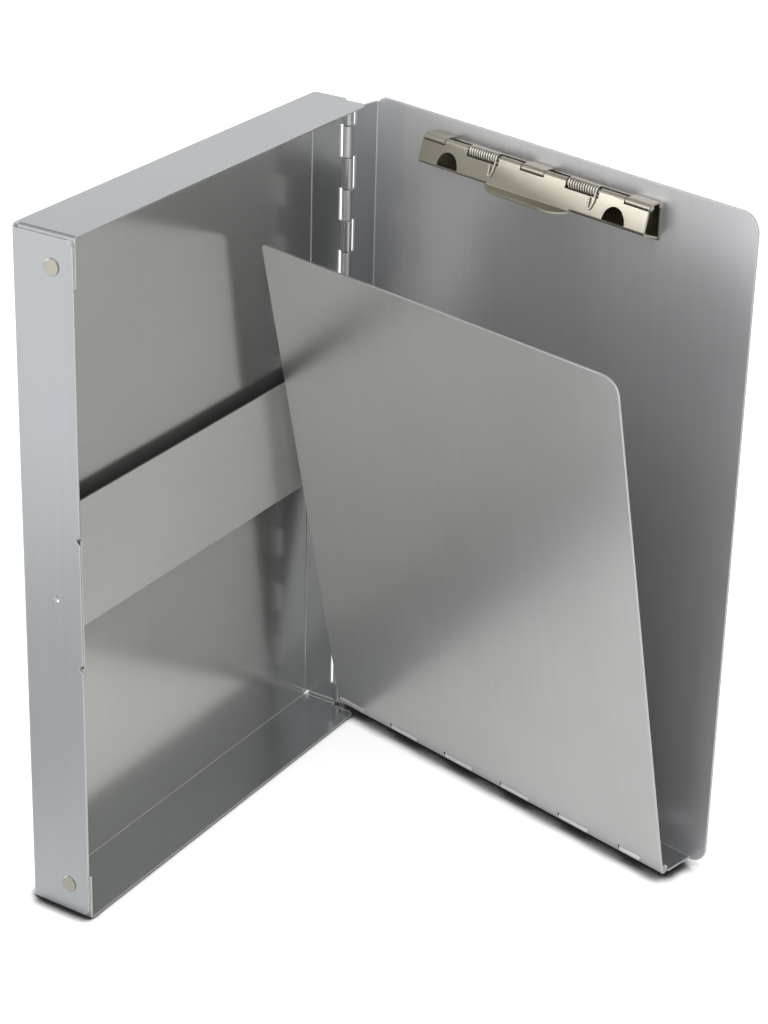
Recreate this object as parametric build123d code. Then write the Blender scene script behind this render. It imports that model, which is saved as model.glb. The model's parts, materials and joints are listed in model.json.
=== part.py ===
from build123d import *
import math
import os

# Storage clipboard box of folded aluminium sheet, standing on the short bottom end of its tray.
# A shallow tray is open at the front (-Y). A cover turns on a rolled pin hinge along the tray's
# +X side and carries a spring clip. A writing plate turns on a second rolled hinge along the
# cover's bottom flange. All sizes are in millimetres and all angles in degrees.
# The origin is the middle of the tray's bottom face, +Z runs up the tray's long side.

# --- Driving dimensions -----------------------------------------------------------------------
sheet = 1.0                    # aluminium sheet of the tray, cover, plate and strip
bend_inside = 0.6              # inside radius of a fold in that sheet
running = 0.05                 # radial clearance of a pin in its knuckles
end_gap = 0.5                  # gap between two neighbouring knuckles

tray_width = 235.0
tray_height = 347.0
tray_depth = 33.6
seam_gap = 2.0                 # raw end of the free-side wall below the face of the end wall
tab_length = 24.0              # end-wall tab folded inside the free-side wall
tab_peek = 0.8                 # end walls and tabs reach this far past the rim
rim_corner = 3.5
end_step = 2.7                 # step in the end wall that lets the cover's flange pass
end_step_from_back = 20.4
end_corner = 4.0
lip_height = 3.2               # turned-up lip at the hinge end of each end wall
lip_gap = 0.5                  # from the lip's edge to the hinge-side wall

corner_rivet_from_end = 16.0
corner_rivet_from_back = 22.0
corner_rivet_head = 4.0        # radius
corner_rivet_shank = 1.9       # radius
corner_rivet_clinch = 3.0      # radius of the closed end inside the tray
corner_rivet_rise = 0.7

strip_low = 136.4              # height of the retaining strip's lower edge
strip_height = 65.6
strip_depth = 8.0              # from the tray's back face to the strip's front face
strip_hinge_tab = 6.0
strip_notch = 2.2              # notch in the rim at each edge of the strip's tab
dimple_radius = 1.75
dimple_floor = 0.7             # radius at the bottom of the dimple
dimple_depth = 0.5
dimple_from_back = 19.4

hinge_setback = 21.4           # hinge axis from the tray's back face
hinge_offset = 0.6             # hinge axis outside the tray's hinge-side face
hinge_margin = 13.8            # first cover knuckle from the tray's end
hinge_intervals = 19           # cover and tray knuckles in turn, the cover's at both ends
knuckle_radius = 2.7
pin_radius = 1.5
leaf_root = 1.9                # where a leaf's sheet enters its knuckle, from the axis
leaf_notch = 3.9               # clearance notch beside the other leaf's knuckle, from the axis

cover_open = 77.6              # cover's angle from closed in the stored pose
cover_reach = 239.0            # free edge from the hinge axis
cover_flange = 19.8            # hinge axis to the cover's outer face
cover_low = 4.0                # cover's bottom edge above the tray's bottom face
cover_top_gap = 2.0            # cover's top edge below the tray's top face
cover_flange_step = 3.0        # side flange's top edge below the cover's top edge
cover_corner = 9.5
cover_hinge_corner = 5.0
bottom_flange_start = 3.8

plate_start = 4.0              # writing plate's hinge-side edge from the main axis
plate_free_gap = 9.3           # writing plate's free edge inside the cover's free edge
plate_height = 287.0
plate_lean = 12.1              # lean away from the cover in the stored pose
plate_setback = 19.2           # plate hinge axis from the cover's inner face
plate_knuckle_radius = 2.3
plate_knuckle_length = 19.8
plate_end_knuckle = 10.0       # least length of the two knuckles at the free end
plate_notch = 3.0              # clearance notch beside the other leaf's knuckle, from the axis
plate_corner = 8.5
plate_hinge_corner = 2.5

clip_sheet = 1.0
clip_start = 42.0              # clip's left end from the main axis
clip_pin_drop = 9.9            # pin axis below the cover's top edge
clip_pin_off = 6.8             # pin axis off the cover's inner face
clip_pin_radius = 1.0
clip_knuckle_radius = 2.0
clip_plate_drop = 16.8         # base plate's lower edge below the pin axis
clip_plate_rise = 0.5          # base plate's upper edge above the pin axis, between its knuckles
clip_end_knuckle = 14.5        # base knuckle at each end of the clip
clip_jaw_knuckle = 15.3
clip_spring_gap = 20.0         # stretch of bare pin that carries a spring
clip_jaw_inner_knuckle = 14.0
clip_middle_knuckle = 14.5     # base knuckle in the middle
jaw_fold_off = 12.0            # jaw's fold off the cover's inner face
jaw_fold_drop = 12.0           # jaw's fold below the pin axis
jaw_lip_off = 1.6
jaw_lip_drop = 16.0
jaw_slot_clearance = 0.45
jaw_hole_width = 13.4
jaw_hole_rise = 7.5
jaw_hole_inset = 18.6          # middle of a D-shaped hole from the clip's end
tooth_pitch = 4.0
tooth_depth = 1.4
tooth_gap_share = 0.67         # of the pitch, at the lip's edge
lift_width = 52.0
lift_reach = 8.0               # how far the finger lift stands out from the fold
lift_slope = 8.0               # fall of the lift's leaf below level
lift_curl = 2.4                # outer strip that turns back up
lift_curl_slope = -34.0        # rise of that strip above level

spring_wire = 0.45             # radius of the wire
spring_mean = 2.65             # radius of the coil at the wire's middle
spring_pitch = 1.52
spring_whole_turns = 11
spring_jaw_leg = 8.4           # from the coil's tangent point to the start of the hairpin's tip
spring_leg_start = 1.6         # straight start of that leg
spring_leg_shift = 1.7         # how far the tip stands to the side of the leg's start
spring_leg_lean = 30.0
spring_base_leg = 8.0
spring_base_leg_angle = 17.5
spring_tip = 0.7               # radius of the hairpin's tip
spring_return = 4.6            # straight free end of the hairpin

clip_rivet_drop = 9.5          # rivets below the pin axis
clip_rivet_shank = 1.5         # radius
clip_rivet_head = 2.6          # radius
clip_rivet_rise = 0.8

# --- Positions worked out from the driving dimensions -----------------------------------------
bend_outside = bend_inside + sheet
free_x = -tray_width / 2
hinge_x = tray_width / 2
back_y = tray_depth / 2
rim_y = -tray_depth / 2
end_front_y = rim_y - tab_peek
axis_x = hinge_x + hinge_offset
axis_y = back_y - hinge_setback
hinge_pitch = (tray_height - 2 * hinge_margin) / hinge_intervals
bore_radius = pin_radius + running
hinge_wall_gap = lip_height + lip_gap
strip_middle = strip_low + strip_height / 2
strip_back_y = back_y - strip_depth + sheet

cover_top = tray_height - cover_top_gap
cover_flange_top = cover_top - cover_flange_step
cover_inner = cover_flange - sheet
flange_outer = hinge_offset
flange_arm = 4 * bend_outside  # how far a flange's bend reaches into the cover's face
plate_end = cover_reach - plate_free_gap
plate_axis_u = cover_inner - plate_setback
plate_axis_z = cover_low + plate_knuckle_radius
plate_bore_radius = plate_knuckle_radius - sheet
plate_pin_radius = plate_bore_radius - running

clip_length = 2 * (clip_end_knuckle + clip_jaw_knuckle + clip_spring_gap + clip_jaw_inner_knuckle)
clip_length = clip_length + clip_middle_knuckle
clip_end = clip_start + clip_length
clip_pin_u = cover_inner - clip_pin_off
clip_pin_height = cover_top - clip_pin_drop
clip_low = clip_pin_height - clip_plate_drop
clip_plate_top = clip_pin_height + clip_plate_rise
clip_rivet_height = clip_pin_height - clip_rivet_drop
clip_bore_radius = clip_pin_radius + running
jaw_fold = (cover_inner - jaw_fold_off, clip_pin_height - jaw_fold_drop)
jaw_lip = (cover_inner - jaw_lip_off, clip_pin_height - jaw_lip_drop)

# The cover's own frame has its origin on the hinge axis at the floor, X along the cover from
# the hinge, Y from the hinge axis to the cover's face and Z up.
cover_place = Pos(axis_x, axis_y, 0) * Rot(0, 0, cover_open - 180)
plate_place = cover_place * Pos(0, plate_axis_u, plate_axis_z) * Rot(plate_lean, 0, 0)


# --- Helpers ----------------------------------------------------------------------------------
def block(low, high):
    """A box between two opposite corners."""
    size = [b - a for a, b in zip(low, high)]
    return Pos(*low) * Box(*size, align=Align.MIN)


def along_x(section, start, end):
    """Extrude a (y, z) section from one x to another."""
    plane = Plane(origin=(start, 0, 0), x_dir=(0, 1, 0), z_dir=(1, 0, 0))
    return extrude(plane * section, amount=end - start)


def along_y(section, start, end):
    """Extrude an (x, z) section from one y to a lower one."""
    plane = Plane(origin=(0, start, 0), x_dir=(1, 0, 0), z_dir=(0, -1, 0))
    return extrude(plane * section, amount=start - end)


def along_z(section, start, end):
    """Extrude an (x, y) section from one z to another."""
    return extrude(Pos(0, 0, start) * section, amount=end - start)


def bar(start, end, radius):
    """A round bar between two points on a line along one axis."""
    start, end = Vector(*start), Vector(*end)
    return extrude(Plane(origin=start, z_dir=end - start) * Circle(radius), amount=(end - start).length)


def sheet_section(points, thickness, inside_radius):
    """Section of a folded sheet whose outer face follows the points, with the sheet on their left."""
    line = [complex(*point) for point in points]
    ways = [(b - a) / abs(b - a) for a, b in zip(line, line[1:])]
    sides = [1j * way for way in ways]
    inner = [line[0] + thickness * sides[0]]
    for point, before, after in zip(line[1:], sides, sides[1:]):
        inner.append(point + thickness * (before + after) / (1 + (before * after.conjugate()).real))
    inner.append(line[-1] + thickness * sides[-1])
    corners = [(p.real, p.imag) for p in line + inner[::-1]]
    face = Sketch() + make_face(Polyline(*corners, close=True))
    for index in range(1, len(line) - 1):
        turn = (ways[index - 1].conjugate() * ways[index]).imag
        outer_radius, inner_radius = inside_radius + thickness, inside_radius
        if turn < 0:
            outer_radius, inner_radius = inner_radius, outer_radius
        for point, radius in ((line[index], outer_radius), (inner[index], inner_radius)):
            corner = face.vertices().sort_by_distance((point.real, point.imag, 0))[0]
            face = fillet(corner, radius)
    return face


def rounded_outline(points, radii):
    """A closed outline with its own radius at each corner, or 0 for a sharp one."""
    face = Sketch() + make_face(Polyline(*points, close=True))
    for point, radius in zip(points, radii):
        if radius > 0:
            face = fillet(face.vertices().sort_by_distance((*point, 0))[0], radius)
    return face


def hinge_marks(first, pitch, count):
    """Boundaries between the knuckles of a hinge."""
    return [first + pitch * index for index in range(count + 1)]


def write(node, shape):
    """Keep one named sub-part."""
    export_step(shape, os.path.join("parts", node + ".step"))


# --- Hinge layouts ----------------------------------------------------------------------------
def cover_stretches():
    """Height ranges of the cover's knuckles on the main hinge."""
    marks = hinge_marks(hinge_margin, hinge_pitch, hinge_intervals)
    return list(zip(marks[0::2], marks[1::2]))


def tray_stretches():
    """Height ranges of the tray's knuckles on the main hinge, with the two at its ends."""
    marks = hinge_marks(hinge_margin, hinge_pitch, hinge_intervals)
    marks = [hinge_wall_gap - end_gap / 2] + marks + [tray_height - hinge_wall_gap + end_gap / 2]
    return list(zip(marks[0::2], marks[1::2]))


def plate_marks():
    """Boundaries of the plate hinge's knuckles: pairs of long ones, then two that fill the rest."""
    pairs = int((plate_end - plate_start - 2 * plate_end_knuckle) / (2 * plate_knuckle_length))
    marks = hinge_marks(plate_start, plate_knuckle_length, 2 * pairs)
    short = (plate_end - marks[-1]) / 2
    return marks + [marks[-1] + short, plate_end]


def flange_stretches():
    """Ranges of the bottom flange's knuckles on the plate hinge."""
    marks = plate_marks()
    return list(zip(marks[0::2], marks[1::2]))


def plate_stretches():
    """Ranges of the writing plate's knuckles on the plate hinge."""
    marks = plate_marks()
    return list(zip(marks[1::2], marks[2::2]))


# --- Tray -------------------------------------------------------------------------------------
def tray_walls():
    """Back panel with the free-side and hinge-side walls, in one folded sheet."""
    path = [(hinge_x, axis_y + leaf_root), (hinge_x, back_y), (free_x, back_y), (free_x, rim_y)]
    walls = along_z(sheet_section(path, sheet, bend_inside), seam_gap, tray_height - seam_gap)
    corners = walls.edges().filter_by(Axis.X).filter_by(lambda edge: abs(edge.length - sheet) < 0.01)
    walls = fillet(corners.group_by(Axis.Y)[0], rim_corner)
    for low, high in ((0, hinge_wall_gap), (tray_height - hinge_wall_gap, tray_height)):
        walls -= block((hinge_x - 2 * sheet, axis_y, low), (hinge_x + sheet, back_y - bend_outside, high))
    for low, high in cover_stretches():
        walls -= block(
            (hinge_x - 2 * sheet, axis_y, low - end_gap / 2),
            (hinge_x + sheet, axis_y + leaf_notch, high + end_gap / 2),
        )
    for height in (strip_low, strip_low + strip_height):
        corners = ((0, -1), (0, 1), (1, 0))
        notch = [(rim_y + across * strip_notch, height + up * strip_notch) for across, up in corners]
        walls -= along_x(make_face(Polyline(*notch, close=True)), free_x, free_x + sheet)
    dimple = Cone(dimple_radius, dimple_floor, dimple_depth, align=(Align.CENTER, Align.CENTER, Align.MIN))
    return walls - Pos(free_x, back_y - dimple_from_back, strip_middle) * Rot(0, 90, 0) * dimple


def tray_end(face_z, inward):
    """One end wall with its bend from the back, its tab and its lip. Inward is +1 or -1 along Z."""
    inside = face_z + inward * sheet
    low, high = min(face_z, inside), max(face_z, inside)
    left = free_x + sheet + bend_outside
    step_y = back_y - end_step_from_back
    outline = [
        (left, back_y - bend_outside),
        (hinge_x, back_y - bend_outside),
        (hinge_x, step_y),
        (hinge_x - end_step, step_y),
        (hinge_x - end_step, end_front_y),
        (left, end_front_y),
    ]
    wall = along_z(rounded_outline(outline, (0, 0, 0, 0, end_corner, 0)), low, high)
    tab_x = free_x + sheet
    tab_path = [(left + sheet, face_z), (tab_x, face_z), (tab_x, face_z + inward * tab_length)]
    back_arm = 2 * bend_outside
    back_path = [(back_y - back_arm, face_z), (back_y, face_z), (back_y, face_z + inward * back_arm)]
    if inward > 0:
        tab_path.reverse()
    else:
        back_path.reverse()
    wall += along_y(sheet_section(tab_path, sheet, bend_inside), back_y - back_arm, end_front_y)
    back_bend = sheet_section(back_path, sheet, bend_inside)
    wall += along_x(back_bend, free_x + bend_outside, hinge_x - bend_outside)
    lip_tip = face_z + inward * lip_height
    lip_low, lip_high = min(face_z, lip_tip), max(face_z, lip_tip)
    return wall + block((hinge_x - sheet, step_y, lip_low), (hinge_x, back_y - back_arm, lip_high))


def hinge_bar(low, high, radius):
    """A round bar on the main hinge's axis."""
    return bar((axis_x, axis_y, low), (axis_x, axis_y, high), radius)


def corner_rivet_points():
    """Centres of the two corner rivets on the free-side wall."""
    y = back_y - corner_rivet_from_back
    return [(y, corner_rivet_from_end), (y, tray_height - corner_rivet_from_end)]


def tray_shell():
    """The folded tray: walls, both ends and the tray's knuckles of the main hinge."""
    shell = tray_walls() + tray_end(0, 1) + tray_end(tray_height, -1)
    for low, high in tray_stretches():
        shell += hinge_bar(low + end_gap / 2, high - end_gap / 2, knuckle_radius)
    shell -= hinge_bar(0, tray_height, bore_radius)
    for y, z in corner_rivet_points():
        shell -= bar((free_x - sheet, y, z), (free_x + 3 * sheet, y, z), corner_rivet_shank + running)
    return shell


def corner_rivets():
    """Two flat rivets that hold the end-wall tabs to the free-side wall."""
    rivets = []
    for y, z in corner_rivet_points():
        head = bar((free_x, y, z), (free_x - corner_rivet_rise, y, z), corner_rivet_head)
        head = fillet(head.edges().filter_by(GeomType.CIRCLE).sort_by(Axis.X)[0], corner_rivet_rise / 2)
        tail_x = free_x + 2 * sheet
        rivet = head + bar((free_x, y, z), (tail_x, y, z), corner_rivet_shank)
        rivet += bar((tail_x, y, z), (tail_x + corner_rivet_rise, y, z), corner_rivet_clinch)
        rivets.append(rivet)
    return Compound(children=rivets)


def retaining_strip():
    """Strip across the tray, with a tab inside each side wall."""
    path = [
        (hinge_x - sheet, strip_back_y - strip_hinge_tab),
        (hinge_x - sheet, strip_back_y),
        (free_x + sheet, strip_back_y),
        (free_x + sheet, rim_y),
    ]
    return along_z(sheet_section(path, sheet, bend_inside), strip_low, strip_low + strip_height)


def hinge_pin():
    """Pin of the main hinge, flush with the tray's end knuckles."""
    return hinge_bar(hinge_wall_gap, tray_height - hinge_wall_gap, pin_radius)


# --- Cover ------------------------------------------------------------------------------------
def cover_face():
    """The cover's flat face with its rounded corners, in the cover's frame."""
    start = flange_outer + bend_outside
    outline = [(start, cover_low), (cover_reach, cover_low), (cover_reach, cover_top), (start, cover_top)]
    radii = (0, cover_corner, cover_corner, cover_hinge_corner)
    return along_y(rounded_outline(outline, radii), cover_flange, cover_inner)


def cover_side_flange():
    """Flange from the cover's face back to its knuckles on the main hinge."""
    path = [(flange_arm, cover_flange), (flange_outer, cover_flange), (flange_outer, leaf_root)]
    flange = along_z(sheet_section(path, sheet, bend_inside), cover_low, cover_flange_top)
    marks = [0] + [mark for pair in cover_stretches() for mark in pair] + [cover_top]
    for low, high in zip(marks[0::2], marks[1::2]):
        flange -= block((0, 0, low - end_gap / 2), (2 * sheet, leaf_notch, high + end_gap / 2))
    for low, high in cover_stretches():
        flange += bar((0, 0, low + end_gap / 2), (0, 0, high - end_gap / 2), knuckle_radius)
    return flange - bar((0, 0, 0), (0, 0, cover_top), bore_radius)


def plate_axis_bar(low, high, radius):
    """A round bar on the plate hinge's axis, in the cover's frame."""
    return bar((low, plate_axis_u, plate_axis_z), (high, plate_axis_u, plate_axis_z), radius)


def cover_bottom_flange():
    """Flange along the cover's bottom edge that carries the plate hinge."""
    path = [(plate_axis_u, cover_low), (cover_flange, cover_low), (cover_flange, cover_low + flange_arm)]
    flange = along_x(sheet_section(path, sheet, bend_inside), bottom_flange_start, plate_end)
    for low, high in plate_stretches():
        flange -= block(
            (low - end_gap / 2, plate_axis_u - sheet, cover_low),
            (high + end_gap / 2, plate_axis_u + plate_notch, cover_low + sheet),
        )
    for low, high in flange_stretches():
        flange += plate_axis_bar(low + end_gap / 2, high - end_gap / 2, plate_knuckle_radius)
    flange -= block(
        (0, plate_axis_u - plate_notch, cover_low),
        (plate_start + end_gap / 2, plate_axis_u + plate_notch, plate_axis_z),
    )
    return flange - plate_axis_bar(0, cover_reach, plate_bore_radius)


def clip_rivet_points():
    """Centres of the two rivets that hold the clip's base to the cover."""
    return [clip_start + jaw_hole_inset, clip_end - jaw_hole_inset]


def cover_panel():
    """The cover: face, side flange, bottom flange and the holes for the clip's rivets."""
    panel = cover_face() + cover_side_flange() + cover_bottom_flange()
    for s in clip_rivet_points():
        panel -= across_bar(s, cover_inner - sheet, cover_flange + sheet, clip_rivet_shank + running)
    return panel


# --- Writing plate ----------------------------------------------------------------------------
def writing_plate():
    """The writing plate in its own frame: X along its hinge axis, Z up the plate."""
    outline = [(plate_start, 0), (plate_end, 0), (plate_end, plate_height), (plate_start, plate_height)]
    radii = (0, 0, plate_corner, plate_hinge_corner)
    front = -plate_knuckle_radius
    plate = along_y(rounded_outline(outline, radii), front + sheet, front)
    for low, high in flange_stretches():
        plate -= block((low - end_gap / 2, front - sheet, 0), (high + end_gap / 2, 0, plate_notch))
    for low, high in plate_stretches():
        plate += bar((low + end_gap / 2, 0, 0), (high - end_gap / 2, 0, 0), plate_knuckle_radius)
    return plate - bar((0, 0, 0), (cover_reach, 0, 0), plate_bore_radius)


def plate_hinge_pin():
    """Pin of the plate hinge."""
    return bar((plate_start + end_gap, 0, 0), (plate_end, 0, 0), plate_pin_radius)


# --- Clip -------------------------------------------------------------------------------------
def clip_marks():
    """Boundaries along the clip: base, jaw, spring, jaw, base, jaw, spring, jaw, base."""
    half = [clip_end_knuckle, clip_jaw_knuckle, clip_spring_gap, clip_jaw_inner_knuckle]
    marks = [clip_start]
    for length in half + [clip_middle_knuckle] + half[::-1]:
        marks.append(marks[-1] + length)
    return marks


def clip_stretches(*places):
    """Ranges of the clip's stretches by their place from the left end, counted from 0."""
    marks = clip_marks()
    return [(marks[place], marks[place + 1]) for place in places]


def pin_bar(low, high, radius):
    """A round bar on the clip's pin axis."""
    return bar((low, clip_pin_u, clip_pin_height), (high, clip_pin_u, clip_pin_height), radius)


def clip_base():
    """Base plate on the cover's inner face, with three fingers rolled round the pin."""
    base = block((clip_start, cover_inner - clip_sheet, clip_low), (clip_end, cover_inner, clip_plate_top))
    arm_z = clip_pin_height + clip_knuckle_radius
    path = [(cover_inner, clip_low), (cover_inner, arm_z), (clip_pin_u, arm_z)]
    section = sheet_section(path, clip_sheet, bend_inside)
    for low, high in clip_stretches(0, 4, 8):
        low, high = max(low + end_gap / 2, clip_start), min(high - end_gap / 2, clip_end)
        base += along_x(section, low, high) + pin_bar(low, high, clip_knuckle_radius)
    base -= pin_bar(0, cover_reach, clip_bore_radius)
    hole_radius = clip_rivet_shank + running
    for s in clip_rivet_points():
        base -= across_bar(s, cover_inner - 2 * clip_sheet, cover_inner + clip_sheet, hole_radius)
    return base


def tangent_angle():
    """Angle, in the (Y, Z) plane, of the point where the jaw's outer face leaves its knuckle."""
    across, up = jaw_fold[0] - clip_pin_u, jaw_fold[1] - clip_pin_height
    distance = math.hypot(across, up)
    return math.atan2(up, across) - math.acos(clip_knuckle_radius / distance)


def round_pin(angle, radius):
    """A (Y, Z) point at an angle and radius about the clip's pin axis."""
    return clip_pin_u + radius * math.cos(angle), clip_pin_height + radius * math.sin(angle)


def jaw_way():
    """Unit direction, in (Y, Z), down the jaw's leaf."""
    start = round_pin(tangent_angle(), clip_knuckle_radius)
    way = complex(*jaw_fold) - complex(*start)
    return way / abs(way)


def fall(length, slope):
    """A (Y, Z) step away from the cover that falls at a slope in degrees, as a complex number."""
    angle = math.radians(slope)
    return complex(-length * math.cos(angle), -length * math.sin(angle))


def finger_lift():
    """Half-moon tab that stands out from the jaw's fold and turns up along its outer edge."""
    fold = complex(*jaw_fold)
    elbow = fold + fall(lift_reach - lift_curl, lift_slope)
    rim = elbow + fall(lift_curl, lift_curl_slope)
    root = fold - jaw_way() * 2 * bend_outside
    path = [(point.real, point.imag) for point in (root, fold, elbow, rim)]
    middle, half = (clip_start + clip_end) / 2, lift_width / 2
    strip = along_x(sheet_section(path, clip_sheet, bend_inside), middle - half, middle + half)
    moon = Pos(middle, jaw_fold[0]) * Ellipse(half, jaw_fold[0] - rim.real)
    return strip & along_z(moon, jaw_fold[1] - 2 * lift_reach, jaw_fold[1] + lift_reach)


def jaw_teeth():
    """Wedges that cut the jaw's lip into teeth."""
    count = int((clip_end - clip_start) / tooth_pitch)
    first = (clip_start + clip_end) / 2 - (count - 1) * tooth_pitch / 2
    wedges = []
    for index in range(count):
        s = first + index * tooth_pitch
        tip = cover_inner - jaw_lip_off - tooth_depth
        half_gap = tooth_pitch * tooth_gap_share / 2
        points = [(s, tip), (s + half_gap, cover_inner), (s - half_gap, cover_inner)]
        wedge = make_face(Polyline(*points, close=True))
        wedges.append(along_z(wedge, jaw_lip[1] - clip_sheet, jaw_lip[1] + 3 * clip_sheet))
    return wedges


def clip_jaw():
    """Jaw of the clip: sloping leaf, folded toothed lip, finger lift and four knuckles."""
    start = round_pin(tangent_angle(), clip_knuckle_radius)
    jaw = along_x(sheet_section([start, jaw_fold, jaw_lip], clip_sheet, bend_inside), clip_start, clip_end)
    jaw += finger_lift()
    for wedge in jaw_teeth():
        jaw -= wedge
    for s in clip_rivet_points():
        base = Pos(s, jaw_fold[1] + clip_sheet)
        hole = base * Ellipse(jaw_hole_width / 2, jaw_hole_rise)
        hole &= base * Pos(0, jaw_hole_rise / 2) * Rectangle(jaw_hole_width, jaw_hole_rise)
        jaw -= along_y(hole, jaw_fold[0] + 4 * clip_sheet, jaw_fold[0] - 4 * clip_sheet)
    spring_room = spring_mean + spring_wire + jaw_slot_clearance
    for low, high in clip_stretches(2, 6):
        jaw -= pin_bar(low - end_gap / 2, high + end_gap / 2, spring_room)
    for low, high in clip_stretches(0, 4, 8):
        jaw -= pin_bar(low - end_gap / 2, high + end_gap / 2, clip_knuckle_radius + jaw_slot_clearance)
    for low, high in clip_stretches(1, 3, 5, 7):
        jaw += pin_bar(low + end_gap / 2, high - end_gap / 2, clip_knuckle_radius)
    return jaw - pin_bar(0, cover_reach, clip_bore_radius)


def clip_pin():
    """Pin through the clip's knuckles and springs."""
    return pin_bar(clip_start, clip_end, clip_pin_radius)


def biarc(start, start_way, end, end_way):
    """Two arcs that join two points smoothly, each point with its own direction."""
    span = end - start
    curve = 2 * (1 - start_way.dot(end_way))
    reach = 2 * span.dot(start_way + end_way)
    length = (-reach + math.sqrt(reach**2 + 4 * curve * span.dot(span))) / (2 * curve)
    before, after = start + start_way * length, end - end_way * length
    joint = (before + after) * 0.5
    return [
        Edge.make_tangent_arc(start, start_way, joint),
        Edge.make_tangent_arc(joint, (after - before).normalized(), end),
    ]


def hairpin(start, way):
    """Edges of the pointed hairpin down the jaw, from the coil's tangent point and its direction."""
    side = Vector(-1, 0, 0)
    lean = math.radians(spring_leg_lean)

    def turned(angle):
        return way * math.cos(angle) + side * math.sin(angle)

    first = start + way * spring_leg_start
    tip = start + way * spring_jaw_leg + side * spring_leg_shift
    centre = tip + turned(lean + math.pi / 2) * spring_tip
    bottom = centre - turned(lean / 2 + math.pi) * spring_tip
    back = centre - turned(math.pi * 3 / 2) * spring_tip
    return [
        Edge.make_line(start, first),
        *biarc(first, way, tip, turned(lean)),
        Edge.make_three_point_arc(tip, bottom, back),
        Edge.make_line(back, back - way * spring_return),
    ]


def clip_spring(low, high):
    """A torsion spring round the pin: base leg, coil and a hairpin leg down the jaw."""
    first = math.radians(spring_base_leg_angle)
    last = tangent_angle() % (2 * math.pi) + 2 * math.pi * spring_whole_turns
    quarters = round((last - first) / (math.pi / 2))
    turn = (last - first) / quarters
    rise = spring_pitch * turn / (2 * math.pi)
    s_first = (low + high - rise * quarters) / 2
    points, ways = [], []
    for index in range(quarters + 1):
        angle = first + turn * index
        points.append(Vector(s_first + rise * index, *round_pin(angle, spring_mean)))
        slope = 0 if index in (0, quarters) else rise / turn / spring_mean
        ways.append(Vector(slope, -math.sin(angle), math.cos(angle)).normalized())
    edges = [Edge.make_line(points[0] - ways[0] * spring_base_leg, points[0])]
    for index in range(quarters):
        edges += biarc(points[index], ways[index], points[index + 1], ways[index + 1])
    path = Wire(edges + hairpin(points[-1], ways[-1]))
    section = Plane(origin=path @ 0, z_dir=path % 0) * Circle(spring_wire)
    spring = sweep(section, path=path)
    report_spring(path, spring)
    return spring


def report_spring(path, spring):
    """Print the least gap of the wire to itself and how its volume compares with its length."""
    steps = int(path.length / spring_wire)
    places = [path @ (index / steps) for index in range(steps + 1)]
    apart = int(2 * math.pi * spring_mean * steps / path.length / 3)
    gaps = [
        (places[a] - places[b]).length
        for a in range(len(places))
        for b in range(a + apart, len(places))
    ]
    ideal = math.pi * spring_wire**2 * path.length
    least = min(gaps) - 2 * spring_wire
    print(f"spring: least gap {least:.2f} mm, volume ratio {spring.volume / ideal:.4f}")


def across_bar(s, start, end, radius):
    """A round bar through the cover at one clip rivet, from one depth to another."""
    return bar((s, start, clip_rivet_height), (s, end, clip_rivet_height), radius)


def clip_rivets():
    """Two rivets through the cover and the clip's base."""
    rivets = []
    inside, outside = cover_inner - clip_sheet, cover_flange
    for s in clip_rivet_points():
        rivet = across_bar(s, inside, outside, clip_rivet_shank)
        rivet += across_bar(s, inside, inside - clip_rivet_rise, clip_rivet_head)
        rivet += across_bar(s, outside, outside + clip_rivet_rise, clip_rivet_head)
        rivets.append(cover_place * rivet)
    return Compound(children=rivets)


# --- The part ---------------------------------------------------------------------------------
os.makedirs("parts", exist_ok=True)
left_spring, right_spring = clip_stretches(2, 6)
write("tray_shell", tray_shell())
write("corner_rivets", corner_rivets())
write("retaining_strip", retaining_strip())
write("hinge_pin", hinge_pin())
write("cover_panel", cover_place * cover_panel())
write("writing_plate", plate_place * writing_plate())
write("plate_hinge_pin", plate_place * plate_hinge_pin())
write("clip_base", cover_place * clip_base())
write("clip_jaw", cover_place * clip_jaw())
write("clip_pin", cover_place * clip_pin())
write("clip_spring_left", cover_place * clip_spring(*left_spring))
write("clip_spring_right", cover_place * clip_spring(*right_spring))
write("clip_rivets", clip_rivets())
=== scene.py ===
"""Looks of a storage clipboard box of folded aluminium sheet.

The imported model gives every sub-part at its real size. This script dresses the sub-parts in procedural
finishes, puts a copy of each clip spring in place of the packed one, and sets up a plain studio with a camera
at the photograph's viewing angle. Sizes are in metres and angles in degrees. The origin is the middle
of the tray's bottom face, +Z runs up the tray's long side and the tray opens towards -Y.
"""

import json
import logging
import math
from dataclasses import dataclass
from enum import Enum

import bpy
from mathutils import Matrix, Vector


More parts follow.
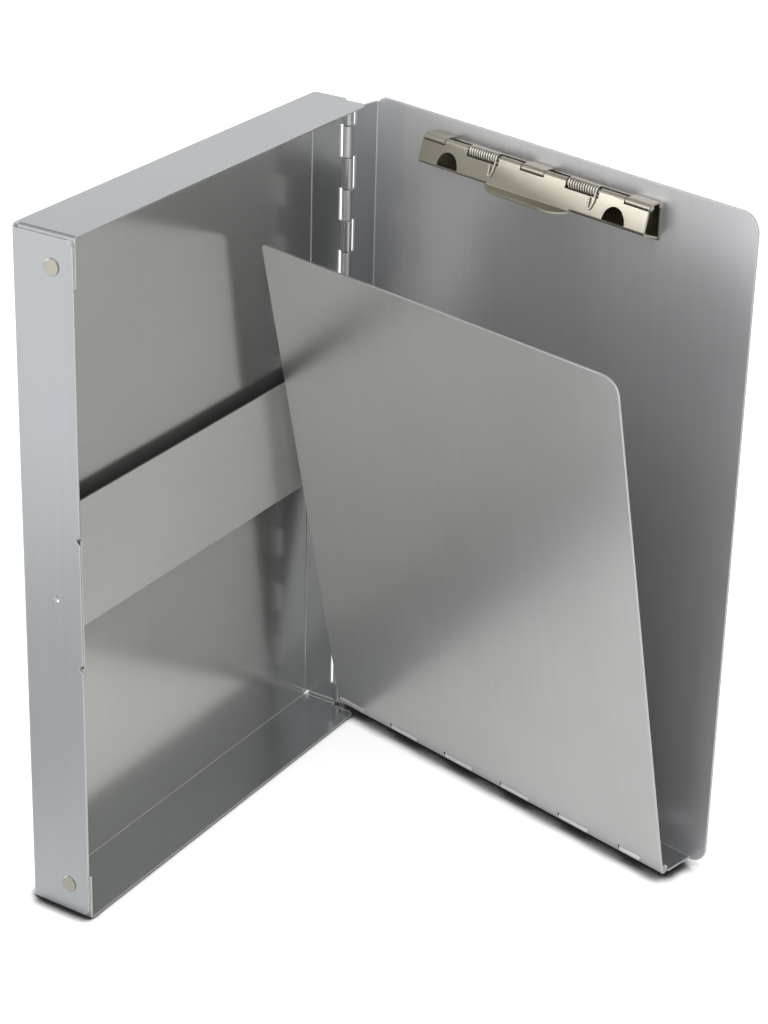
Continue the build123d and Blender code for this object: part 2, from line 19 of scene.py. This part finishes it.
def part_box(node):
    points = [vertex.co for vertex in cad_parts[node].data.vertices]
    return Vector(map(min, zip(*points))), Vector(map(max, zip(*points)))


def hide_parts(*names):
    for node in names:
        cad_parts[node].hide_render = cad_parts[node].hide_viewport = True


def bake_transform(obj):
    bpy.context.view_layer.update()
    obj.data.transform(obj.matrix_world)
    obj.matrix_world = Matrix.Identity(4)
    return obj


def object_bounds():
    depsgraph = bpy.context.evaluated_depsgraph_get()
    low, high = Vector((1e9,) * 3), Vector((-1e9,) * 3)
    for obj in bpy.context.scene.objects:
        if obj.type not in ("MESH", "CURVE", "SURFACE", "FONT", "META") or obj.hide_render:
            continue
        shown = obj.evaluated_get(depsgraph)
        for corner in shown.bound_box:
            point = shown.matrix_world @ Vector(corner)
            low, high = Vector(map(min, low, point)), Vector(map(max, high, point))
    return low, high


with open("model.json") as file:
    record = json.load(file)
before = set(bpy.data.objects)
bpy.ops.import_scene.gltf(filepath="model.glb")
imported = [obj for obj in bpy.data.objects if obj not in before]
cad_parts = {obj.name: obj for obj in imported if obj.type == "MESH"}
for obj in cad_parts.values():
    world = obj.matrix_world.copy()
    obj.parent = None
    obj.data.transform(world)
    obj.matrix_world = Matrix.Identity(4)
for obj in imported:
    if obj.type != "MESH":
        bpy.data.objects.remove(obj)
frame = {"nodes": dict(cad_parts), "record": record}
cad_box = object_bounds()

log = logging.getLogger("clipboard_box")

Colour = tuple[float, float, float]
Place = tuple[float, float, float]
Span = tuple[float, float]

LONG_SIDE_PIXELS = 1024
SENSOR_MILLIMETRES = 36.0
FARTHEST_SEEN = 100.0
PLATE_LEAN = 12.1  # the writing plate's lean away from the cover

# How finely the renderer works out rounded edges and the floor's contact shade
EDGE_SAMPLES = 4
CONTACT_SAMPLES = 8

# Sockets of a Mix node that carry colours
MIX_START = 6
MIX_END = 7
MIX_RESULT = 2

NOISE_MIDDLE = 0.5
LEVEL_FROM = 0.7  # upward part of a face's direction from which the face counts as level
INNER_FROM = 0.5  # part of a face's direction along its sheet's own -Y from which it is an inner face


# --- Shader maths ---------------------------------------------------------------------------------
class Term:
    """A number, a colour or a vector inside a finish, so that shader maths reads as plain arithmetic."""

    def __init__(self, graph: "Graph", socket: bpy.types.NodeSocket) -> None:
        """Wraps one output socket of a graph."""
        self.graph = graph
        self.socket = socket

    def math(self, operation: str, *others: "Term | float") -> "Term":
        """Applies one Math operation to this value and the others, in that order."""
        inputs = dict(enumerate((self, *others)))
        return self.graph.term("ShaderNodeMath", {"operation": operation}, inputs)

    def __add__(self, other: "Term | float") -> "Term":
        """Adds a value."""
        return self.math("ADD", other)

    def __radd__(self, other: float) -> "Term":
        """Adds this value to a number."""
        return self.math("ADD", other)

    def __mul__(self, other: "Term | float") -> "Term":
        """Multiplies by a value."""
        return self.math("MULTIPLY", other)

    def __sub__(self, other: "Term | float") -> "Term":
        """Takes a value away."""
        return self.math("SUBTRACT", other)

    def __rsub__(self, other: float) -> "Term":
        """Takes this value away from a number."""
        return self.graph.term("ShaderNodeMath", {"operation": "SUBTRACT"}, {0: other, 1: self})

    def above(self, edge: float) -> "Term":
        """One where this value is above an edge, otherwise zero."""
        return self.math("GREATER_THAN", edge)

    def size(self) -> "Term":
        """This value without its sign."""
        return self.math("ABSOLUTE")

    def spread(self, low: float, high: float, to_low: float = 0.0, to_high: float = 1.0) -> "Term":
        """Maps a range of this value smoothly to another range.

        Args:
            low: Value that becomes to_low.
            high: Value that becomes to_high.
            to_low: Result at and below low.
            to_high: Result at and above high.

        Returns:
            The mapped value.
        """
        inputs = {"Value": self, "From Min": low, "From Max": high, "To Min": to_low, "To Max": to_high}
        return self.graph.term("ShaderNodeMapRange", {"interpolation_type": "SMOOTHSTEP"}, inputs)


class Graph:
    """The nodes of one finish or of the studio's surround."""

    def __init__(self, tree: bpy.types.NodeTree) -> None:
        """Starts from an empty node tree."""
        self.tree = tree
        tree.nodes.clear()

    def node(self, kind: str, settings: dict | None = None, inputs: dict | None = None) -> bpy.types.Node:
        """Adds one node.

        Args:
            kind: The node's type.
            settings: Properties by name, set before the inputs.
            inputs: Values or terms for sockets, by name or number.

        Returns:
            The new node.
        """
        node = self.tree.nodes.new(kind)
        for name, value in (settings or {}).items():
            setattr(node, name, value)
        for key, value in (inputs or {}).items():
            if isinstance(value, Term):
                self.tree.links.new(value.socket, node.inputs[key])
            else:
                node.inputs[key].default_value = value
        return node

    def term(
        self,
        kind: str,
        settings: dict | None = None,
        inputs: dict | None = None,
        output: str | int = 0,
    ) -> Term:
        """Adds one node and returns one of its outputs."""
        return Term(self, self.node(kind, settings, inputs).outputs[output])

    def vector(self, x: Term | float, y: Term | float, z: Term | float) -> Term:
        """A vector of three values."""
        return self.term("ShaderNodeCombineXYZ", inputs={0: x, 1: y, 2: z})

    def parts(self, vector: Term) -> tuple[Term, Term, Term]:
        """The three values of a vector."""
        node = self.node("ShaderNodeSeparateXYZ", inputs={0: vector})
        return tuple(Term(self, output) for output in node.outputs)

    def measure(self, operation: str, first: Term, second: Term | Place) -> Term:
        """One number worked out from two vectors, such as their distance."""
        return self.term("ShaderNodeVectorMath", {"operation": operation}, {0: first, 1: second}, "Value")

    def noise(self, vector: Term, detail: float = 2.0) -> Term:
        """Smooth noise of about unit size over a vector."""
        return self.term("ShaderNodeTexNoise", inputs={"Vector": vector, "Scale": 1.0, "Detail": detail})

    def cells(self, place: tuple[Term, Term, Term], size: float, detail: float = 2.0) -> Term:
        """Smooth noise over a place, in cells of one size."""
        return self.noise(self.vector(*(part * (1 / size) for part in place)), detail)

    def blend(self, amount: Term, start: Term | Colour, end: Term | Colour) -> Term:
        """Mixes two colours by an amount from 0 to 1."""
        ends = [value if isinstance(value, Term) else (*value, 1.0) for value in (start, end)]
        inputs = {"Factor": amount, MIX_START: ends[0], MIX_END: ends[1]}
        return self.term("ShaderNodeMix", {"data_type": "RGBA"}, inputs, MIX_RESULT)

    def rounded(self, radius: float) -> Term:
        """The direction of a face, as if its edges were rounded."""
        return self.term("ShaderNodeBevel", {"samples": EDGE_SAMPLES}, {"Radius": radius})

    def bumped(self, rounded: Term, height: Term, distance: float, strength: float) -> Term:
        """The rounded direction of a face, tilted by a height."""
        inputs = {"Height": height, "Strength": strength, "Distance": distance, "Normal": rounded}
        return self.term("ShaderNodeBump", inputs=inputs)

    def rays(self) -> tuple[Term, Term]:
        """One where the camera looks straight at a point, and one where a reflection does."""
        node = self.node("ShaderNodeLightPath")
        return Term(self, node.outputs["Is Camera Ray"]), Term(self, node.outputs["Is Glossy Ray"])

    def surface(self, inputs: dict) -> None:
        """Ends a finish in one shader."""
        shader = self.term("ShaderNodeBsdfPrincipled", inputs=inputs)
        self.node("ShaderNodeOutputMaterial", inputs={"Surface": shader})


def new_finish(name: str) -> tuple[bpy.types.Material, Graph]:
    """A new material and its empty graph."""
    made = bpy.data.materials.new(name)
    made.use_nodes = True
    return made, Graph(made.node_tree)


# --- Finishes -------------------------------------------------------------------------------------
@dataclass(frozen=True)
class SheetAxes:
    """How a sheet lies: turned about +Z and then leaning about its own X axis."""

    turn: float = 0.0
    lean: float = 0.0

    def own(self, graph: Graph, vector: Term) -> Term:
        """A place or a direction along the sheet's own axes, by undoing its turn and lean."""
        angles = (math.radians(self.lean), 0.0, math.radians(self.turn))
        inputs = {"Vector": vector, "Rotation": angles}
        return graph.term("ShaderNodeMapping", {"vector_type": "TEXTURE"}, inputs)


class Grain(Enum):
    """Which way the rolling grain runs on a sheet's large faces."""

    UP = "up"
    ALONG = "along"


@dataclass(frozen=True)
class SatinSheet:
    """Satin aluminium sheet: fine rolling grain, faint streaks, soft clouds, and cut edges painted bright as
    bare metal and as a painted highlight.

    An inner tone and the inner share of metal go on the faces that look along the sheet's own -Y, the
    side that the open box shows, so the two sides of one sheet differ in tone as painted light and painted
    shade. Each "dulls" value is how much a pattern adds to the roughness.
    """

    name: str
    axes: SheetAxes
    grain: Grain = Grain.UP
    tone: Colour = (0.430, 0.448, 0.462)
    metal: float = 0.85
    inner_tone: Colour | None = None
    inner_metal: float = 0.85
    uneven: float = 0.035
    grain_share: float = 0.15
    streak_share: float = 0.33
    cloud_share: float = 0.52
    mottle_span: Span = (0.30, 0.70)
    # Colour of the raw edges: bare cut metal together with a painted highlight
    cut_edge_and_highlight: Colour = (0.86, 0.87, 0.87)
    edge_span: Span = (0.015, 0.12)
    edge_round: float = 0.0005
    roughness: float = 0.26
    streak_dulls: float = 0.04
    cloud_dulls: float = 0.08
    edge_dulls: float = 0.08
    grain_width: float = 0.00060
    grain_length: float = 0.030
    grain_height: float = 0.0000005
    grain_strength: float = 0.5
    streak_width: float = 0.0030
    streak_length: float = 0.220
    cloud: float = 0.070

    def material(self) -> bpy.types.Material:
        """Builds the finish.

        Returns:
            A metal whose grain follows the sheet and whose raw edges are painted bright, as bare cut metal
            and as a painted highlight.
        """
        made, graph = new_finish(self.name)
        surface = graph.node("ShaderNodeTexCoord")
        place = graph.parts(self.axes.own(graph, Term(graph, surface.outputs["Object"])))
        outward = Term(graph, surface.outputs["Normal"])
        across, along = self._ways(graph, place, outward)
        grain = self._stretched(graph, across, self.grain_width, along, self.grain_length, seed=0.0)
        streak = self._stretched(graph, across, self.streak_width, along, self.streak_length, seed=3.0)
        cloud = graph.cells(place, self.cloud)
        rounded = graph.rounded(self.edge_round)
        edge = self._edge(graph, rounded)
        mottle = grain * self.grain_share + streak * self.streak_share + cloud * self.cloud_share
        face, metal = self._face(graph, mottle.spread(*self.mottle_span), outward)
        streak_dull = (streak - NOISE_MIDDLE) * self.streak_dulls
        cloud_dull = (cloud - NOISE_MIDDLE) * self.cloud_dulls
        inputs = {
            # Raw edges take a light colour: bare cut metal with a painted highlight
            "Base Color": graph.blend(edge, face, self.cut_edge_and_highlight),
            "Metallic": metal,
            "Roughness": self.roughness + streak_dull + cloud_dull + edge * self.edge_dulls,
            "Normal": graph.bumped(rounded, grain, self.grain_height, self.grain_strength),
        }
        graph.surface(inputs)
        return made

    def _ways(self, graph: Graph, place: tuple[Term, Term, Term], outward: Term) -> tuple[Term, Term]:
        """How far a place lies across the grain and along it, on upright and on level faces."""
        x, y, z = place
        level = graph.parts(outward)[2].size().above(LEVEL_FROM)
        across = x + y * (1 - level)
        along = z * (1 - level) + y * level
        if self.grain is Grain.ALONG:
            return along, across
        return across, along

    def _edge(self, graph: Graph, rounded: Term) -> Term:
        """One along cut edges, where the rounded direction leaves the face's own, and zero elsewhere."""
        facing = graph.term("ShaderNodeNewGeometry", output="Normal")
        return (1 - graph.measure("DOT_PRODUCT", rounded, facing)).spread(*self.edge_span)

    def _face(self, graph: Graph, mottle: Term, outward: Term) -> tuple[Term, Term | float]:
        """Colour and share of metal of the faces, with another tone on the inner side, painted light and
        shade.
        """
        face = self._mottled(graph, mottle, self.tone)
        if self.inner_tone is None:
            return face, self.metal
        # The inner faces take their own tone: painted light and shade on one side of the sheet
        inner = (graph.parts(self.axes.own(graph, outward))[1] * -1).above(INNER_FROM)
        clean = self._mottled(graph, mottle, self.inner_tone)
        return graph.blend(inner, face, clean), self.metal + inner * (self.inner_metal - self.metal)

    def _mottled(self, graph: Graph, mottle: Term, tone: Colour) -> Term:
        """A tone made a little darker where the mottle is low and lighter where it is high."""
        darker, lighter = (tuple(part * (1 + side * self.uneven) for part in tone) for side in (-1, 1))
        return graph.blend(mottle, darker, lighter)

    @staticmethod
    def _stretched(graph: Graph, across: Term, width: float, along: Term, length: float, seed: float) -> Term:
        """Noise drawn out along one way, as width by length cells."""
        return graph.noise(graph.vector(across * (1 / width), along * (1 / length), seed))


@dataclass(frozen=True)
class PlatedSteel:
    """Nickel-plated pressed steel or wire: warm, fairly bright, with faint pores and slow patches.

    Below a given height, where one is given, the plating takes a dark tone, which is painted shade.
    """

    name: str
    dark: Colour = (0.43, 0.40, 0.335)
    light: Colour = (0.52, 0.485, 0.41)
    pore_share: float = 0.4
    patch_share: float = 0.6
    mottle_span: Span = (0.35, 0.65)
    roughness: float = 0.315
    pore_dulls: float = 0.05
    patch_dulls: float = 0.08
    pore: float = 0.0006
    pore_height: float = 0.00003
    pore_strength: float = 0.15
    patch: float = 0.030
    edge_round: float = 0.0002
    # Painted shade: below this height the base takes the dark tone, standing for the shade under the clip's
    # jaw
    shaded_below: float | None = None
    dull: Colour = (0.16, 0.145, 0.12)

    def material(self) -> bpy.types.Material:
        """Builds the finish.

        Returns:
            A metal whose tone and sheen change with slow patches and fine pores.
        """
        made, graph = new_finish(self.name)
        place = graph.parts(graph.term("ShaderNodeTexCoord", output="Object"))
        pore = graph.cells(place, self.pore)
        patch = graph.cells(place, self.patch, detail=3.0)
        mottle = (pore * self.pore_share + patch * self.patch_share).spread(*self.mottle_span)
        tone = graph.blend(mottle, self.dark, self.light)
        if self.shaded_below is not None:
            # painted shade on the plating below the height
            tone = graph.blend(place[2].above(self.shaded_below), self.dull, tone)
        patch_dull = (patch - NOISE_MIDDLE) * self.patch_dulls
        pore_dull = (pore - NOISE_MIDDLE) * self.pore_dulls
        rounded = graph.rounded(self.edge_round)
        inputs = {
            "Base Color": tone,
            "Metallic": 1.0,
            "Roughness": self.roughness + patch_dull + pore_dull,
            "Normal": graph.bumped(rounded, pore, self.pore_height, self.pore_strength),
        }
        graph.surface(inputs)
        return made


DRAWN_PIN = PlatedSteel("drawn_pin", dark=(0.42, 0.42, 0.41), light=(0.56, 0.56, 0.55), roughness=0.22)


def dress(node: str, finish: bpy.types.Material) -> None:
    """Puts a finish on every material slot of one packed sub-part."""
    for slot in frame["nodes"][node].material_slots:
        slot.material = finish
    log.info("dressed %s in %s", node, finish.name)


# --- The box --------------------------------------------------------------------------------------
def joint_axis(name: str) -> Vector:
    """Direction of a joint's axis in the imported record."""
    row = next(joint for joint in frame["record"]["behaviour"]["joints"] if joint["name"] == name)
    return Vector(row["axis"])


def cover_turn() -> float:
    """The cover's turn about +Z, in degrees, so that its own X axis runs along the plate hinge."""
    axis = joint_axis("plate_hinge")
    return math.degrees(math.atan2(axis.y, axis.x))


@dataclass
class Tray:
    """The shallow tray with its retaining strip, corner rivets and hinge pin."""

    sheet: SatinSheet
    strip: SatinSheet
    rivets: PlatedSteel
    pin: PlatedSteel

    def build(self) -> None:
        """Dresses the tray's sub-parts."""
        dress("tray_shell", self.sheet.material())
        dress("retaining_strip", self.strip.material())
        dress("corner_rivets", self.rivets.material())
        dress("hinge_pin", self.pin.material())


@dataclass
class Cover:
    """The cover with its flanges, and the writing plate on its lower hinge."""

    sheet: SatinSheet
    plate: SatinSheet
    pin: PlatedSteel

    def build(self) -> None:
        """Dresses the cover, the writing plate and the pin between them."""
        dress("cover_panel", self.sheet.material())
        dress("writing_plate", self.plate.material())
        dress("plate_hinge_pin", self.pin.material())


@dataclass(frozen=True)
class WoundSpring:
    """A torsion spring of the clip, copied from its packed wire.
    """

    node: str
    wire: float = 0.0009
    hairpin_width: float = 0.0040

    def build(self, finish: bpy.types.Material) -> None:
        """Makes the spring from its packed wire, which it replaces.

        Args:
            finish: The wire's finish.
        """
        mesh = frame["nodes"][self.node].data.copy()
        mesh.materials.clear()
        mesh.materials.append(finish)
        spring = bpy.data.objects.new(f"{self.node}_wound", mesh)
        bpy.context.scene.collection.objects.link(spring)
        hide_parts(self.node)
        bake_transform(spring)
        log.info("wound %s between the cover and the jaw", self.node)


@dataclass
class Clip:
    """The spring clip inside the cover: base, jaw, pin, springs and rivets."""

    plating: PlatedSteel
    base: PlatedSteel
    wire: PlatedSteel
    pin: PlatedSteel

    def build(self) -> None:
        """Dresses the clip's sub-parts and puts copies of its springs in place of the packed ones."""
        plating = self.plating.material()
        wire = self.wire.material()
        for node in ("clip_jaw", "clip_rivets"):
            dress(node, plating)
        dress("clip_base", self.base.material())
        for node in ("clip_spring_left", "clip_spring_right"):
            WoundSpring(node).build(wire)
        dress("clip_pin", self.pin.material())


def tray() -> Tray:
    """The tray and the finishes of its sub-parts."""
    return Tray(
        # The tray's inner faces are painted lighter and warmer than its outer faces: painted light inside the
        # tray
        sheet=SatinSheet("satin_tray", SheetAxes(), inner_tone=(0.570, 0.570, 0.545), roughness=0.20),
        strip=SatinSheet(
            "satin_strip",
            SheetAxes(),
            grain=Grain.ALONG,
            # The strip's back and its faces other than the front are painted near-black: painted shade of the
            # pocket behind the strip, which the back panel reflects as a dark band
            tone=(0.060, 0.060, 0.058),
            inner_tone=(0.640, 0.640, 0.610),
            inner_metal=0.6,
            roughness=0.36,
        ),
        rivets=PlatedSteel(
            "rivet_nickel", dark=(0.36, 0.345, 0.295), light=(0.45, 0.43, 0.37), roughness=0.32
        ),
        pin=DRAWN_PIN,
    )


def cover() -> Cover:
    """The cover and the writing plate with their finishes."""
    turn = cover_turn()
    return Cover(
        sheet=SatinSheet(
            "satin_cover",
            SheetAxes(turn),
            # The cover's inner face is painted far lighter than its outer face: painted light
            inner_tone=(0.765, 0.762, 0.785),
            inner_metal=0.78,
            roughness=0.34,
        ),
        plate=SatinSheet(
            "satin_plate", SheetAxes(turn, PLATE_LEAN), tone=(0.560, 0.563, 0.556), roughness=0.32
        ),
        pin=DRAWN_PIN,
    )


def clip() -> Clip:
    """The spring clip and the finishes of its sub-parts, with painted shade on the base below the pin."""
    return Clip(
        plating=PlatedSteel("nickel_plate"),
        # The base's plating is painted dark below the pin: painted shade under the jaw
        base=PlatedSteel("nickel_painted_shade", shaded_below=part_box("clip_pin")[0].z),
        wire=PlatedSteel("spring_wire", dark=(0.60, 0.57, 0.50), light=(0.74, 0.71, 0.64), roughness=0.18),
        pin=DRAWN_PIN,
    )


# --- Studio ---------------------------------------------------------------------------------------
@dataclass(frozen=True)
class Lamp:
    """A square soft lamp that shines on a point of the box."""

    name: str
    place: Place
    size: float
    watts: float
    colour: Colour

    def build(self, aim: Vector) -> None:
        """Adds the lamp and turns it towards the aim."""
        data = bpy.data.lights.new(self.name, "AREA")
        data.size = self.size
        data.energy = self.watts
        data.color = self.colour
        lamp = bpy.data.objects.new(self.name, data)
        lamp.location = self.place
        lamp.rotation_mode = "QUATERNION"
        lamp.rotation_quaternion = (aim - Vector(self.place)).to_track_quat("-Z", "Y")
        bpy.context.scene.collection.objects.link(lamp)


@dataclass(frozen=True)
class Viewpoint:
    """A camera by its place and by the direction of its view."""

    place: Place
    heading: float
    pitch: float
    roll: float
    focal_pixels: float
    shift: Span

    def build(self) -> None:
        """Adds the camera.

        The view direction is heading degrees from +Y towards +X and pitch degrees above the horizon,
        and the camera is then rolled about it, with positive roll lifting its right side. The shift
        is in parts of the picture's long side.
        """
        heading, pitch, roll = (math.radians(angle) for angle in (self.heading, self.pitch, self.roll))
        ahead = Vector((math.sin(heading), math.cos(heading), 0)) * math.cos(pitch)
        ahead.z = math.sin(pitch)
        level = Vector((math.cos(heading), -math.sin(heading), 0))
        right = level * math.cos(roll) + level.cross(ahead) * math.sin(roll)
        data = bpy.data.cameras.new("camera")
        data.sensor_width = SENSOR_MILLIMETRES
        data.lens = self.focal_pixels * SENSOR_MILLIMETRES / LONG_SIDE_PIXELS
        data.shift_x, data.shift_y = self.shift
        data.clip_end = FARTHEST_SEEN
        camera = bpy.data.objects.new("camera", data)
        columns = (right, right.cross(ahead), -ahead)
        turned = Matrix([[column[row] for column in columns] for row in range(3)])
        camera.matrix_world = Matrix.Translation(self.place) @ turned.to_4x4()
        bpy.context.scene.collection.objects.link(camera)
        bpy.context.scene.camera = camera


@dataclass
class Studio:
    """A pale floor, a soft surround, soft lamps and the camera.

    The camera sees the floor lifted to white, apart from a narrow painted contact shadow under the box. Only
    reflections see the floor's other lift and its painted shadow patch, which darkens the foot of the tray's
    free wall in reflection as in the photograph. The patch is full within its core distance of its place and
    ends at its reach.
    """

    viewpoint: Viewpoint
    lamps: tuple[Lamp, ...]
    floor_reach: float = 6.0
    floor_tone: Colour = (0.80, 0.80, 0.79)
    floor_roughness: float = 0.9
    # Painted contact shadow: the floor's tone where the box stands close to it
    contact_shadow_tone: Colour = (0.02, 0.02, 0.02)
    contact_distance: float = 0.009
    contact_span: Span = (0.55, 0.98)
    white_lift: float = 0.55
    reflected_lift: float = 0.22
    # A painted shadow patch on the floor, seen only in reflections
    floor_shadow_place: Place = (-0.31, 0.12, 0.0)
    floor_shadow_core: float = 0.05
    floor_shadow_reach: float = 0.28
    floor_shadow_amount: float = 0.57
    floor_shadow_tone: Colour = (0.42, 0.42, 0.42)
    ambient: float = 0.75
    overhead_span: Span = (0.25, 0.95)
    overhead_brightness: float = 0.35

    def build(self) -> None:
        """Builds the studio."""
        self.viewpoint.build()
        low, high = cad_box
        for lamp in self.lamps:
            lamp.build((low + high) / 2)
        self.floor()
        self.surround()
        bpy.context.scene.view_settings.view_transform = "Standard"

    def floor(self) -> None:
        """A flat square under the box."""
        reach = self.floor_reach
        corners = [(-reach, -reach, 0), (reach, -reach, 0), (reach, reach, 0), (-reach, reach, 0)]
        mesh = bpy.data.meshes.new("floor")
        mesh.from_pydata(corners, [], [(0, 1, 2, 3)])
        mesh.materials.append(self.floor_finish())
        floor = bpy.data.objects.new("floor", mesh)
        bpy.context.scene.collection.objects.link(floor)

    def floor_finish(self) -> bpy.types.Material:
        """Builds the floor's finish, with painted contact shadow where the box stands close to it and a
        painted shadow patch seen only in reflections.
        """
        made, graph = new_finish("pale_floor")
        seen, mirrored = graph.rays()
        near = {"Distance": self.contact_distance}
        open_sky = graph.term("ShaderNodeAmbientOcclusion", {"samples": CONTACT_SAMPLES}, near, "AO")
        free = open_sky.spread(*self.contact_span)
        away = graph.measure("DISTANCE", graph.term("ShaderNodeTexCoord", output="Object"), self.floor_shadow_place)
        # Painted shadow patch on the floor, seen only in reflections near the tray's free wall
        floor_shadow = mirrored * away.spread(self.floor_shadow_core, self.floor_shadow_reach, self.floor_shadow_amount, 0.0)
        # Painted contact shadow where the box stands close to the floor
        tone = graph.blend(free, self.contact_shadow_tone, self.floor_tone)
        inputs = {
            "Base Color": graph.blend(floor_shadow, tone, self.floor_shadow_tone),
            "Roughness": self.floor_roughness,
            "Emission Color": seen * free * self.white_lift + mirrored * (1 - floor_shadow) * self.reflected_lift,
            "Emission Strength": 1.0,
        }
        graph.surface(inputs)
        return made

    def surround(self) -> None:
        """A white surround for the camera, dimmer overhead in reflections and for soft fill."""
        world = bpy.data.worlds.new("surround")
        world.use_nodes = True
        bpy.context.scene.world = world
        graph = Graph(world.node_tree)
        seen, mirrored = graph.rays()
        height = graph.parts(graph.term("ShaderNodeTexCoord", output="Generated"))[2]
        overhead = height.spread(*self.overhead_span, 1.0, self.overhead_brightness)
        strength = seen + (1 - seen) * (mirrored * overhead + (1 - mirrored) * self.ambient)
        inputs = {"Color": (1.0, 1.0, 1.0, 1.0), "Strength": strength}
        background = graph.term("ShaderNodeBackground", inputs=inputs)
        graph.node("ShaderNodeOutputWorld", inputs={"Surface": background})


def studio() -> Studio:
    """The studio with its camera and lamps."""
    return Studio(
        viewpoint=Viewpoint(
            place=(-0.9270, -0.6717, 0.7331),
            heading=57.194,
            pitch=-23.467,
            roll=1.01,
            focal_pixels=2600.7,
            shift=(0.0498, -0.1299),
        ),
        lamps=(
            Lamp("key", place=(-0.9, -0.9, 2.2), size=1.6, watts=14.0, colour=(0.98, 0.99, 1.0)),
            Lamp("fill", place=(-1.5, 0.4, 1.8), size=1.0, watts=8.0, colour=(0.97, 0.99, 1.0)),
            Lamp("low", place=(-1.4, 1.9, 0.30), size=0.9, watts=20.0, colour=(0.97, 0.99, 1.0)),
        ),
    )


def main() -> None:
    """Dresses the box piece by piece and sets up the studio."""
    logging.basicConfig(level=logging.INFO, format="%(name)s: %(message)s")
    for section in (tray(), cover(), clip(), studio()):
        section.build()


if __name__ == "__main__":
    main()
